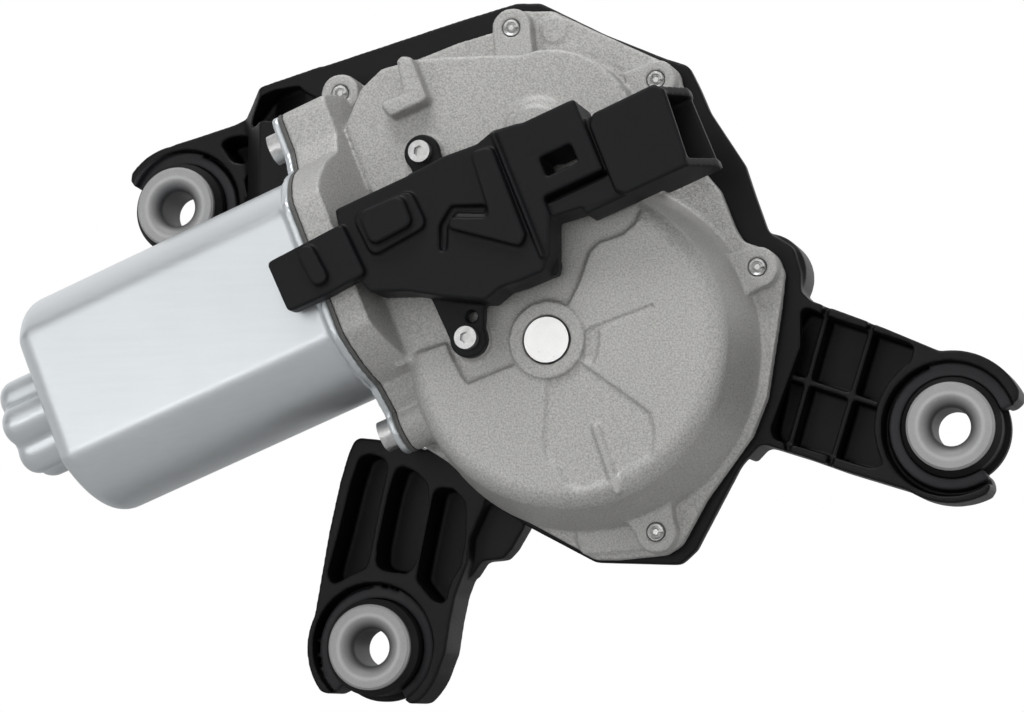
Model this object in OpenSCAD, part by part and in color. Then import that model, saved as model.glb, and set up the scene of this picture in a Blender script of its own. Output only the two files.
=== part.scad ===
// Rear wiper motor with worm gear, cast gear housing and a three-legged mounting bracket.
// The output shaft turns about +Y. X points right and Z up in the plane of the housing's joint.
// The origin lies on the output shaft's axis, in the joint between housing and bracket.

/* [Gear pair] */
// Module of the worm gear
gear_module = 1.25; // [1.2:0.05:1.3]
// Teeth of the worm wheel
wheel_teeth = 47; // [45:1:47]
// Pitch diameter of the worm
worm_pitch_d = 9.75; // [9.5:0.25:10.5]
// Play between the flanks, measured along the pitch line
backlash = 0.3; // [0.2:0.05:0.5]
// Width of the wheel's toothed rim
wheel_face = 8; // [6:0.5:9]
// Length of the cut worm
worm_len = 26; // [22:1:28]

/* [Layout] */
// Slope of the motor's axis
tilt = 22; // [20:1:24]
// Distance of the motor's axis in front of the joint
axis_depth = 12; // [11.5:0.5:13]

/* [Motor can] */
// Outer radius of the can's round sides
can_r = 26.5; // [25.5:0.5:27]
// Half the distance over the can's flats
can_flat = 21.5; // [21:0.5:22.5]
// Sheet thickness of the can
can_wall = 1.6; // [1.2:0.1:2]
// Length of the can from its closed end to its flange
can_len = 70.6; // [67:1.2:73]
// Radius of the bend round the closed end
can_bend = 5; // [4:0.5:6]
// Radius between flat and round sides
can_corner = 4; // [3:0.5:5]
// Outer radius over the lobes of the bearing cup
cup_r = 12.5; // [12:0.25:13]
// Radius of each lobe pressed into the cup
cup_lobe_r = 5; // [4.6:0.2:5.4]
// Length of the bearing cup
cup_len = 14; // [13:0.5:16]
// Distance of the flange screws from the motor's axis
flange_screw_off = 36; // [35:0.5:37]
// Thickness of the can's flange
can_flange = 2; // [1.5:0.25:2.5]
// Length of the flange screws' thread in the housing
flange_thread = 7; // [6:0.25:7.5]
// Radius of the ears round the flange screws
flange_ear_r = 5.8; // [5.4:0.2:6.4]

/* [Armature] */
// Diameter of the armature shaft
arm_shaft_d = 6; // [5:0.25:6.5]
// Radius of the laminated core
core_r = 16; // [14:0.5:17]
// Length of the laminated core
core_len = 34; // [28:1:36]
// Slots of the core
core_slots = 10; // [8:1:12]
// Radius of the commutator
comm_r = 8.5; // [7.5:0.5:9.5]
// Length of the commutator
comm_len = 11; // [9:0.5:12]

/* [Gear housing] */
// Thickness of the housing's flange
flange_t = 4; // [3:0.5:5]
// Height of the gear drum above the joint
drum_h = 26; // [25:0.5:28]
// Radius of the drum at its foot
drum_foot_r = 39.5; // [39:0.25:41]
// Radius of the drum at its top
drum_top_r = 36; // [35:0.25:37]
// Radius round the drum's top edge
drum_edge = 4.5; // [3:0.5:5.5]
// Depth of the sunk sector in the drum's top
relief = 1.2; // [0.8:0.1:1.6]
// Drum centre, sideways from the output shaft
drum_x = 3.5; // [3:0.25:4]
// Wall of the housing
case_wall = 3; // [2.5:0.25:3.5]
// Height of the board chamber's deck above the joint
deck_h = 15; // [14:0.5:17]
// Radius of the boss round the shaft's end
boss_r = 8.5; // [8:0.25:9.5]
// Thickness of the housing's motor flange
motor_flange = 6.7; // [6:0.5:8]
// Thickness of the gaskets
gasket_t = 0.8; // [0.5:0.1:1]
// Diameter of the cover screws
cover_screw_d = 4; // [3.5:0.25:4.5]

/* [Bracket] */
// Thickness of the bracket's plate
plate_t = 3; // [2.5:0.25:4]
// Depth of the legs
leg_depth = 12; // [10:0.5:14]
// Floor thickness of the legs
leg_floor = 2.5; // [2:0.25:3.5]
// Outer radius of the grommet holders
holder_r = 16.75; // [16.5:0.25:17.5]
// Wall of the grommet holders
holder_wall = 2; // [1.6:0.2:2.2]
// Thickness of the legs' ribs
rib_t = 1.3; // [1:0.1:2]

/* [Mounting points] */
// Right bush, sideways from the output shaft
right_x = 83.6; // [82:0.4:86]
// Right bush, height over the output shaft
right_z = -18.6; // [-20:0.4:-17]
// Bottom bush, sideways from the output shaft
bottom_x = -48; // [-50:0.5:-46]
// Bottom bush, height over the output shaft
bottom_z = -65.5; // [-68:0.5:-64]
// Left bush, sideways from the output shaft
left_x = -100.2; // [-103:0.7:-98]
// Left bush, height over the output shaft
left_z = 39.2; // [37:0.55:41]
// Distance of the left leg's front behind the joint
left_set = 8; // [6:0.5:9]

/* [Bushes] */
// Bore of the mounting bushes
bush_bore_d = 8.4; // [8:0.1:9]
// Outer diameter of the bushes' collar
bush_collar_d = 19.3; // [18.5:0.1:20]
// Length of the bushes
bush_len = 16; // [15:0.5:18]
// Radius of the flare at both ends of a bush
flare_r = 3; // [2:0.25:3.5]
// Outer diameter of the rubber grommets in their holders
grommet_d = 22; // [21.5:0.25:22.5]

/* [Output shaft] */
// Diameter of the output shaft
out_shaft_d = 10; // [9.5:0.25:10.5]
// Height of the shaft's tip behind the joint
tip_h = 62; // [58:1:70]
// Length of the spindle tube behind the plate
tube_len = 38; // [34:1:42]
// Wall of the spindle bushes
bush_wall = 1.5; // [1.25:0.25:2]
// Diameter of the thread for the wiper arm's nut
thread_d = 8; // [7:0.5:8.5]

/* [Hidden] */
$fn = 64;

// Radial gap of turning fits, of seated fits and of screws in their holes
run_gap = 0.03;
boss_rim = 4.6;
ear_r = 4.2;
seat_gap = 0.02;
screw_gap = 0.1;
// Thickness of cuts past a face
past = 1;

wheel_r = gear_module * wheel_teeth / 2;
wheel_tip_r = wheel_r + gear_module;
wheel_root_r = wheel_r - 1.2 * gear_module;
worm_r = worm_pitch_d / 2;
worm_tip_r = worm_r + gear_module;
worm_root_r = worm_r - 1.2 * gear_module;
lead = PI * gear_module;
pressure_angle = 20;
tooth_w = lead / 2 - backlash / 2;
axis_off = wheel_r + worm_r;
shaft_r = arm_shaft_d / 2;
out_r = out_shaft_d / 2;

// Stations along the motor's axis, counted from the foot of the gear's centre distance
face_u = -39.9;
can_open_u = face_u - gasket_t;
can_flange_u = can_open_u - can_flange;
can_end_u = can_flange_u - can_len;
cup_end_u = can_end_u - cup_len;
lobe_at = cup_r - cup_lobe_r;
cup_inner_r = lobe_at * cos(30) + sqrt(pow(cup_lobe_r, 2) - pow(lobe_at / 2, 2)) - can_wall;
core_u = can_end_u + 13;
core_end_u = core_u + core_len;
comm_end_u = can_flange_u - 2;
comm_u = comm_end_u - comm_len;
bearing_u = face_u + 4;
bearing_w = 6;
bearing_r = 8.5;
magnet_u = bearing_u + bearing_w + 2;
bush_u = worm_len / 2 + 1.5;
bush_w = 5;
shaft_end_u = bush_u + bush_w + 0.5;
tunnel_end_u = shaft_end_u + 4;
tunnel_r = bearing_r + case_wall;

// Places in the plane of the joint, as x and z
cover_screws_at = [[-54.3, 61.4], [-13.3, 74.2], [20.3, 60.2], [42.9, 16.9], [19.7, -40.9]];
blank_boss_at = [-4.2, 74.1];
deck_disc_at = [-5.4, 49];
right_at = [right_x, right_z];
bottom_at = [bottom_x, bottom_z];
left_at = [left_x, left_z];
// Front faces of the bushes in front of the joint
right_front = 1;
bottom_front = 4;
left_front = -5;
drum_z = -1;
// Rubber grommets: radius in the holder, radius of the rear flange, and the holder's cradle
grommet_r = grommet_d / 2;
bush_wall_r = bush_bore_d / 2 + flare_r + 0.5;
grommet_flange_r = grommet_r + 1.2;
cradle_back = 8;
// Depth of the groove round each cradle, and how far the cradle lies behind the leg's front
groove = 5;
cradle_set = 2;
cradle_wall = 2.8;
// Radius of the outer corner at each arm's tip
tip_r = 2.4;

module slab(front, back) {
  translate([0, back, 0]) rotate([90, 0, 0]) linear_extrude(back - front) children();
}
module rod(x, z, front, back, r) {
  translate([x, front, z]) rotate([-90, 0, 0]) cylinder(h = back - front, r = r);
}
module tilted() rotate([0, -tilt, 0]) children();
module motor_frame() tilted() translate([0, -axis_depth, axis_off]) children();
module spin(u0, u1, r) translate([u0, 0, 0]) rotate([0, 90, 0]) cylinder(h = u1 - u0, r = r);
module across(u0, u1) translate([u0, 0, 0]) rotate([90, 0, 90]) linear_extrude(u1 - u0) children();

// Polygon with an arc at each corner that isn't nearly straight
function unit(v) = v / norm(v);
function corner(a, b, c, r) = let (p = unit(a - b), q = unit(c - b),
    half = acos(max(-1, min(1, p * q))) / 2)
  half > 78 ? [b] : let (t = min(r / tan(half), 0.45 * norm(a - b), 0.45 * norm(c - b)),
    centre = b + unit(p + q) * t / cos(half), s = b + t * p - centre, e = b + t * q - centre,
    sweep = 180 - 2 * half)
    [for (k = [0:0.25:1]) centre + (s * sin((1 - k) * sweep) + e * sin(k * sweep)) / sin(sweep)];
function rounded(points, r) = let (n = len(points))
  [for (i = [0:n - 1]) each corner(points[(i + n - 1) % n], points[i], points[(i + 1) % n], r)];
module bar(a, b, width) translate(a) rotate(atan2(b[1] - a[1], b[0] - a[0]))
  translate([0, -width / 2]) square([norm(b - a), width]);
// The same with round ends, a and b being the centres of the ends
module long_hole(a, b, r) translate(a) rotate(atan2(b[1] - a[1], b[0] - a[0]))
  polygon(rounded([[-r, -r], [norm(b - a) + r, -r], [norm(b - a) + r, r], [-r, r]], 0.9 * r));

// Circle with two flats and rounded corners, x across the flats
module double_d(radius, flat, corner) {
  side = sqrt(pow(radius - corner, 2) - pow(flat - corner, 2));
  reach = (flat - corner) * radius / (radius - corner);
  intersection() {
    circle(r = radius);
    square([2 * reach, 3 * radius], center = true);
  }
  square([2 * flat, 2 * side], center = true);
  for (a = [-1, 1], b = [-1, 1])
    translate([a * (flat - corner), b * side]) circle(r = corner);
}

module can_form(shrink) {
  end_u = can_end_u + shrink;
  r = can_r - shrink;
  bend = can_bend - shrink;
  flat = can_flat - shrink;
  open_u = can_open_u + (shrink > 0 ? past : 0);
  intersection() {
    across(end_u, open_u) double_d(r, flat, can_corner - shrink);
    translate([end_u, 0, 0]) rotate([0, 90, 0]) rotate_extrude() {
      square([r - bend, open_u - end_u]);
      translate([0, bend]) square([r, open_u - end_u - bend]);
      translate([r - bend, bend]) circle(r = bend);
    }
    translate([0, 0, -can_r]) linear_extrude(2 * can_r) {
      translate([end_u, bend - flat]) square([open_u - end_u, 2 * (flat - bend)]);
      translate([end_u + bend, -flat]) square([open_u - end_u - bend, 2 * flat]);
      for (a = [-1, 1]) translate([end_u + bend, a * (flat - bend)]) circle(r = bend);
    }
  }
}

module flange_outline(grow) {
  double_d(can_r + 1.5 + grow, can_flat + 1.5 + grow, can_corner);
  translate([0, -flange_screw_off]) circle(r = flange_ear_r + grow);
  polygon(rounded([[-flange_ear_r - grow, 20], [-flange_ear_r - grow, flange_screw_off + flange_ear_r + grow],
    [flange_ear_r + grow, flange_screw_off + flange_ear_r + grow], [flange_ear_r + grow, 20]], 2.4));
  for (a = [-1, 1]) {
    polygon([[-9 - grow, 0], [-9 - grow, a * 26], [-0.88 * flange_ear_r - grow, a * (flange_screw_off - 3)],
      [0.88 * flange_ear_r + grow, a * (flange_screw_off - 3)], [9 + grow, a * 26], [9 + grow, 0]]);
  }
}

module screw_places() for (a = [-1, 1]) translate([0, 0, a * flange_screw_off]) children();

// The cup is pressed with lobes that centre the bearing
module stub(end_u, back_u, r, bend) translate([end_u, 0, 0]) rotate([0, 90, 0]) rotate_extrude()
  intersection() {
    union() {
      square([r - bend, back_u - end_u]);
      translate([0, bend]) square([r, back_u - end_u - bend]);
      translate([r - bend, bend]) circle(r = bend);
    }
    square([r, back_u - end_u]);
  }
module cup_form() {
  stub(cup_end_u, can_end_u + past, cup_inner_r + can_wall - 0.3, 4);
  for (i = [0:5]) rotate([60 * i, 0, 0]) translate([0, -lobe_at, 0])
    stub(cup_end_u, can_end_u + past, cup_lobe_r, 4);
}

module motor_can() color("silver") motor_frame() difference() {
  union() {
    can_form(0);
    across(can_flange_u, can_open_u) flange_outline(0);
    cup_form();
  }
  can_form(can_wall);
  spin(cup_end_u + can_wall, can_end_u + past + can_wall, cup_inner_r);
  screw_places() spin(can_flange_u - past, can_open_u + past, 2.1);
}

module magnets() color("dimgray") motor_frame() across(core_u - 2, core_end_u + 2)
  for (a = [0, 180]) rotate(a) intersection() {
    difference() {
      circle(r = can_r - can_wall - seat_gap);
      circle(r = core_r + 0.8);
    }
    polygon([[0, 0], [-can_r, can_r], [0, 2 * can_r], [can_r, can_r]]);
  }

module rear_bearing() color("goldenrod") motor_frame() translate([can_end_u - 6, 0, 0])
  difference() {
    intersection() {
      sphere(r = 6.4);
      spin(-4, 4, 6.4);
    }
    spin(-5, 5, shaft_r + run_gap);
  }

module bearing_retainer() color("gray") motor_frame() difference() {
  spin(can_end_u - 8, can_end_u - 4, cup_inner_r - seat_gap);
  translate([can_end_u - 6, 0, 0]) sphere(r = 6.4 + seat_gap);
}

module brush_card() color("saddlebrown") motor_frame() difference() {
  across(can_flange_u - 1, face_u) double_d(can_r - can_wall - 0.1, can_flat - can_wall - 0.1, 2.4);
  spin(can_flange_u - 2, face_u + past, comm_r + 1);
}

brush_u = comm_u + 1.5;
module brush_box(r0, r1, half_u, half_y) {
  for (a = [-1, 1]) translate([brush_u + 3, 0, a * (r0 + r1) / 2])
    cube([2 * half_u, 2 * half_y, r1 - r0], center = true);
}
module brush_tubes() color("gold") motor_frame() difference() {
  brush_box(comm_r + 1.5, 19, 3, 3.8);
  brush_box(comm_r, 18.4, 2.3, 3.1);
}
module brushes() color("black") motor_frame() brush_box(comm_r + 0.1, 14.5, 2.2, 3);

// Closed band of rectangular section wound round X
module band(r_in, r_out, half_in, half_out, pitch, turns, steps) {
  n = floor(turns * steps);
  sections = [for (i = [0:n]) let (a = 360 * i / steps, x = pitch * i / steps)
    each [[x - half_in, r_in * cos(a), r_in * sin(a)], [x - half_out, r_out * cos(a), r_out * sin(a)],
      [x + half_out, r_out * cos(a), r_out * sin(a)], [x + half_in, r_in * cos(a), r_in * sin(a)]]];
  sides = [for (i = [0:n - 1], j = [0:3]) let (k = (j + 1) % 4)
    each [[4 * i + j, 4 * i + k, 4 * i + 4 + k], [4 * i + j, 4 * i + 4 + k, 4 * i + 4 + j]]];
  polyhedron(sections, concat(sides, [[3, 2, 1, 0], [4 * n, 4 * n + 1, 4 * n + 2, 4 * n + 3]]));
}

module brush_springs() color("gray") motor_frame()
  for (a = [-1, 1]) translate([brush_u + 3, 0, a * 14.9]) rotate([0, -90 * a, 0])
    band(1.2, 1.8, 0.25, 0.25, 1, 3, 12);

module chokes() color("darkred") motor_frame()
  for (a = [-1, 1]) translate([0, a * 14, 0]) spin(comm_u + 1, can_flange_u - 1, 2.5);

module flange_gasket() color("darkslategray") motor_frame() difference() {
  across(can_open_u, face_u) flange_outline(0);
  across(can_open_u - past, face_u + past) double_d(can_r - can_wall, can_flat - can_wall, 2.4);
  screw_places() spin(can_open_u - past, face_u + past, 2.1);
}

module cover_outline() {
  polygon(rounded([[-54.6, 65.9], [-49, 63.4], [-46, 66], [-41.8, 67.7], [-26.6, 72.6],
    [-18.3, 74.5], [-15.2, 79.1], [-4.5, 78.5], [6.5, 72.6], [20.4, 65.5], [24.5, 62.9], [25.7, 57.8],
    [25.2, 50], [26.4, 43], [29.4, 40.6], [33.9, 35.1], [37.2, 26.4], [39, 23.4], [44.6, 21.3],
    [48.2, 16.6], [47.2, 8.1], [44, -11.5], [40.6, -19.8], [30.2, -33.6], [24.5, -43.6], [21, -45.8],
    [10, -46.7], [4.7, -46.6], [1.3, -44.4], [-10.5, -37.9], [-21.7, -30.5], [-30, -23.6],
    [-36.5, -19.6], [-35, -10], [-58, 50], [-58.9, 61.4]], 3));
}

module deck_outline() {
  polygon(rounded([[-50.6, 52.4], [-47, 60.5], [-42, 65], [-32.7, 66.8], [-18.5, 66.7], [-9.2, 66.1],
    [-4.5, 67.2], [0.1, 66.9], [4.7, 65.7], [9.3, 63.1], [13.9, 58.3], [15.4, 55.7], [22, 38],
    [10, 20], [-25, 5], [-44.9, 37.8]], 3));
}

module drum_form() {
  translate([drum_x, 0, drum_z]) rotate([90, 0, 0]) rotate_extrude() {
    polygon([[0, gasket_t], [drum_foot_r, gasket_t], [drum_foot_r, flange_t],
      [drum_top_r, drum_h - drum_edge], [drum_top_r - drum_edge, drum_h], [0, drum_h]]);
    translate([drum_top_r - drum_edge, drum_h - drum_edge]) circle(r = drum_edge);
  }
}

// Sunk fields, grooves and the raised bar in the drum's top
module drum() {
  top = -drum_h - past;
  difference() {
    drum_form();
    slab(top, relief - drum_h) polygon([[0, 0], [5.2, 8.6], [7.2, 12.4], [9.5, 19.1], [11.7, 21],
      [16.9, 22.5], [19.8, 24.8], [20.9, 27.4], [24, 50], [-60, 50], [-60, -9], [-33.5, -2.8], [-23, 0.1],
      [-21.8, -2.8], [-18.4, -9], [-7.2, -5]]);
    slab(top, 0.6 * relief - drum_h) polygon(rounded([[0, -6], [-0.9, -20.7], [-0.7, -25], [2.4, -27.9],
      [4.2, -31.4], [7.1, -32.8], [13.7, -31], [23.3, -25.6], [23.9, -21.3], [23.1, -16.6], [6, -4]], 2));
    slab(top, 0.6 * relief - drum_h) {
      intersection() {
        circle(r = 11.7);
        polygon([[0, 0], [30, 5.8], [30, -17.3]]);
      }
      bar([9, 1.7], [24.1, 6.7], 0.9);
    }
  }
  slab(-drum_h - 0.1, 2 - drum_h) long_hole([10.7, -19.3], [15.5, -33.2], 0.8);
}

// Pad that joins a screw boss at p to the wall between a and b
module pad(p, a, b) {
  across_way = (boss_rim - 0.2) * unit(a - b);
  slab(-8, -gasket_t) polygon([a, p + across_way, p - across_way, b]);
}

// Block that the motor is screwed to: its flange, and behind it a foot with a sloping wall
module block_form(grow) {
  across(face_u - grow, face_u + motor_flange + grow) flange_outline(grow);
  intersection() {
    across(face_u - grow, face_u + 16 + grow) flange_outline(grow);
    translate([0, 0, -60]) linear_extrude(120) polygon([[face_u - grow, -24 - grow],
      [face_u + motor_flange + grow, -24 - grow], [face_u + motor_flange + grow, -22],
      [face_u + motor_flange + 5 + grow, -3], [face_u + 16 + grow, axis_depth - gasket_t],
      [face_u - grow, axis_depth - gasket_t]]);
  }
}

module gear_housing() color("gainsboro") difference() {
  union() {
    slab(-flange_t, -gasket_t) cover_outline();
    for (p = cover_screws_at) rod(p[0], p[1], -8, -gasket_t, boss_rim);
    pad(cover_screws_at[1], [-17.4, 66], [-7.8, 66]);
    pad(cover_screws_at[2], [12.5, 62], [16, 53]);
    pad(cover_screws_at[3], [35, 20], [39, 10]);
    pad(cover_screws_at[4], [12.2, -37], [23, -33]);
    slab(-flange_t - 1, -gasket_t) polygon(rounded([[1, -38], [0.8, -42.3], [2.3, -45.6], [17.6, -44.6],
      [15.5, -41.6], [12.2, -37]], 1.5));
    rod(blank_boss_at[0], blank_boss_at[1], -flange_t - 0.4, -gasket_t, 3);
    drum();
    slab(-deck_h, -gasket_t) deck_outline();
    motor_frame() block_form(0);
    intersection() {
      motor_frame() spin(face_u + motor_flange, tunnel_end_u, tunnel_r);
      translate([-100, -60, -60]) cube([200, 60 - gasket_t, 200]);
    }
    tilted() slab(1 - drum_h, -gasket_t) polygon([[-34, 8.5], [-20, 8.5], [-16, 24], [-34, 24]]);
    rod(0, 0, -drum_h - 0.8, -drum_h + 2, boss_r);
    rod(deck_disc_at[0], deck_disc_at[1], -deck_h - 0.8, -deck_h + past, 7);
    rod(deck_disc_at[0], deck_disc_at[1], -deck_h - 1.4, -deck_h + past, 5);
    slab(-deck_h - 4.5, -deck_h + past) polygon([[-40.7, 55.2], [-40, 56.3], [-36, 57.7],
      [-35.5, 58.6], [-37, 65.5], [-35.8, 66.6], [-33.6, 66.3], [-32.2, 63], [-29.8, 56.9],
      [-30.5, 55.8], [-38.3, 52.8]]);
    tilted() rod(-12.4, 53, -deck_h - 1, -deck_h + past, ear_r);
    tilted() rod(-15.4, 6.7, -drum_h - 1, -drum_h + 8, ear_r);
  }
  // Space of the worm wheel and the drum behind it
  rod(0, 0, -axis_depth - wheel_face / 2 - 1, past, wheel_tip_r + 0.6);
  // Worm, its bearings and the brush end
  motor_frame() {
    across(face_u - past, face_u + 3.5) double_d(can_r - can_wall - 3, can_flat - can_wall - 1, 2.4);
    spin(face_u, magnet_u + 5, bearing_r + seat_gap);
    spin(magnet_u, bush_u + past, worm_tip_r + 0.7);
    spin(bush_u, shaft_end_u + 0.5, 6 + seat_gap);
    spin(shaft_end_u, tunnel_end_u + past, 4 + seat_gap);
    screw_places() spin(face_u - past, face_u + flange_thread + 0.5, 2.1);
  }
  // Chamber of the control board
  tilted() slab(-deck_h + 2.5, past) translate([-24, 44.5]) square([44, 15.5]);
  for (p = cover_screws_at) rod(p[0], p[1], -9, past, cover_screw_d / 2 + screw_gap);
  rod(0, 0, -drum_h + 1.2, past, out_r + 1.4 + seat_gap);
  rod(0, 0, -drum_h - 2, -drum_h + 2, out_r + 0.35);
  tilted() rod(-12.4, 53, -deck_h - 1, -deck_h + 6, 1.6);
  tilted() rod(-15.4, 6.7, -drum_h - 2, -drum_h + 6, 1.6);
  // Small slot in the foot of the motor flange
  tilted() slab(-40, -20) translate([face_u + 10.1, 64.5]) square([0.9, 4]);
}

module front_bearing() color("silver") motor_frame() difference() {
  spin(bearing_u, bearing_u + bearing_w, bearing_r);
  spin(bearing_u - past, bearing_u + bearing_w + past, shaft_r + run_gap);
}
module worm_end_bush() color("goldenrod") motor_frame() difference() {
  spin(bush_u, bush_u + bush_w, 6);
  spin(bush_u - past, bush_u + bush_w + past, shaft_r + run_gap);
}
module thrust_screw() color("white") motor_frame() spin(shaft_end_u + 0.2, tunnel_end_u, 4);
module shaft_end_bush() color("goldenrod") difference() {
  rod(0, 0, -drum_h + 1.2, -axis_depth - wheel_face / 2 - 1, out_r + 1.4);
  rod(0, 0, -drum_h - past, 0, out_r + run_gap);
}

// Grommet holders: centre, front of the leg, angles of the mouth, outer radius, shift of the wall
holders = [[right_at, 0, -55, 18, holder_r, [-0.4, -0.4]], [bottom_at, 0, -134, -59, holder_r - 0.5, [-0.4, 0.4]],
  [left_at, left_set, 153, 250, holder_r - 1, [1.2, 0.4]]];
// Open ring that the grommet is pushed into from the side, with its mouth from one angle to another
module holder_ring(r_in, r_out, from, to) difference() {
  circle(r = r_out);
  circle(r = r_in);
  mouth(from, to);
}
module tip_cut(outer, a, way) rotate(a) scale([1, way]) polygon([[outer - tip_r, 2],
  [outer - tip_r, -0.1], [outer - 0.4 * tip_r, -0.3 * tip_r], [outer - 0.08 * tip_r, -tip_r],
  [outer + 3, -1.4 * tip_r], [outer + 3, 2]]);
module mouth(from, to) polygon([[0, 0], 40 * [cos(from), sin(from)],
  56 * [cos((from + to) / 2), sin((from + to) / 2)], 40 * [cos(to), sin(to)]]);
module cradle(at, front, from, to) translate([at[0], 0, at[1]])
  slab(front + cradle_set, front + groove + past) holder_ring(grommet_r, grommet_r + cradle_wall, from, to);

module right_leg() difference() {
  slab(0, leg_depth) polygon(rounded([[44, 26], [49.9, 21.6], [50.6, 12.8], [53.2, 10.2], [66, 5],
    [70.1, 3.2], right_at + (holder_r - 0.7) * [cos(93), sin(93)],
    right_at, right_at + (holder_r - 0.7) * [cos(-112), sin(-112)],
    [59.9, -27.7], [51.7, -24.6], [41.8, -21.3], [37, -26.4]], 2));
  slab(-past, leg_depth - leg_floor) difference() {
    polygon(rounded([[51.7, 8.8], [57, 6.5], right_at + [-7.5, 18], right_at + [-8.8, 14],
      right_at + [-15.4, 5.7], right_at + [-16.4, -1.2], right_at + [-14.6, -7.8],
      right_at + [-17.2, -8.8], [53, -23], [44.7, -20.4], [43.9, -18.3], [45.7, -11], [48.3, 3.8]], 1.5));
    slab_ribs();
  }
  slab(-past, 2.4) slab_ribs();
}
module slab_ribs() {
  bar([56.8, 9], [47.3, -23], rib_t);
  bar([66.8, 5], [56.6, -27], rib_t);
  bar([45, -5.2], [69.5, -13.9], rib_t);
}
module bottom_leg() difference() {
  union() {
    slab(0, leg_depth) polygon(rounded([[-40, -19], [-49.3, -17.8], [-52.9, -17.4], [-54.7, -21.6],
      [-56.5, -27.5], [-59.1, -39], bottom_at + (holder_r - 1.1) * [cos(163), sin(163)],
      bottom_at, bottom_at + [12.3, -10.1],
      bottom_at + [14.9, -6.3], bottom_at + [16.9, -1.3], bottom_at + [18, 5.8], [-28.7, -53.8], [-27.4, -50.5], [-25.7, -46.3],
      [-25.4, -41.3], [-22, -34], [-20, -28]], 3));
    slab(5, leg_depth) polygon(rounded([[-28, -52], [-24, -46], [-19, -45.6], [-16.9, -43.4], [-13, -37],
      [-26, -30]], 1.5));
  }
  slab(-past, leg_depth - leg_floor) {
    polygon(rounded([[-53.8, -28], [-51.8, -22.1], [-49.3, -21.3], [-46.2, -22.4], [-45, -23.9],
      [-47.9, -37.5], [-49.2, -44.3], bottom_at + [-2, 18.2], bottom_at + [-6, 16.6],
      bottom_at + [-10.1, 14.2], bottom_at + [-11.3, 17], [-56.6, -39]], 2));
    polygon(rounded([[-42.6, -23.6], [-38, -26], [-35.4, -28.6], [-35.2, -34], [-37.6, -45.3],
      [-40, -48.8], bottom_at + [2.5, 17.4], [-47.6, -46.8], [-47.4, -42.6], [-44.8, -30.8]], 2));
    polygon(rounded([[-33.6, -29.3], [-29.2, -29.8], [-26.4, -33], [-26.6, -41.3], [-27.6, -47.1],
      [-29.8, -50.5], [-31.4, -55.9], [-34.2, -54.8], [-38, -50.2], [-35.8, -39.4]], 2));
  }
}
// The left leg lies further back, and a ramp leads to it from the plate
module left_leg() difference() {
  slab(0, left_set + leg_depth) polygon(rounded([[-60, 70.6], [-73.7, 66.9], [-77.6, 65.8],
    [-80.7, 62.8], [-83.7, 60.2], [-86.5, 59], left_at + [3.4, 17.1], left_at + [-4.1, 15.3],
    left_at + [-1, 6], left_at + [15, -5], [-66, 38], [-50, 40]], 2.5));
  translate([0, 0, -50]) linear_extrude(150) polygon([[-77, -past], [-77, 0], [-83.5, left_set],
    [-130, left_set], [-130, -past]]);
  intersection() {
    slab(-past, 20) polygon(rounded([[-58, 66.5], [-73.3, 64.9], [-76.6, 63.7], [-79.4, 60.4],
      [-81.5, 57], [-76, 58], [-66, 57], [-58, 58]], 1.5));
    translate([0, 0, -50]) linear_extrude(150) polygon([[-60, -past], [-60, 0], [-66, 1.5],
      [-76, left_set + 1], [-90, left_set + 1], [-90, -past]]);
  }
  slab(left_set - past, left_set + leg_depth - leg_floor) {
    polygon(rounded([left_at + [10.2, 15.4], left_at + [12.1, 16.5], left_at + [15.4, 17],
      [-81.4, 55.2], [-79.9, 53], [-81, 50.5], left_at + [15.9, 10.3], left_at + [13.3, 10.9]], 1.5));
    polygon(rounded([left_at + [16.5, 6.9], [-81, 47.9], [-79.1, 49.4], [-76.4, 55.6], [-66, 54],
      [-66, 42], left_at + [17.5, 1.2]], 1.5));
  }
}

module plate_outline() {
  polygon(rounded([[-72, 67.3], [-57.1, 71.1], [-27.9, 78.7], [-14.6, 81.8], [-8.7, 81.6],
    [6.7, 73.2], [20.6, 66.8], [26, 64.8], [28.6, 59.4], [30.9, 53.8], [38.8, 41.3], [41, 34.4],
    [43.9, 25.9], [49.6, 22.2], [51.2, 16.5], [50.9, 0], [44, -18], [37, -26.4], [27, -44.6],
    [23.4, -47.8], [4, -47], [-12.1, -38.5], [-30, -26], [-36, -22], [-31, -5], [-52, 52], [-58, 60]], 3));
}

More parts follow.
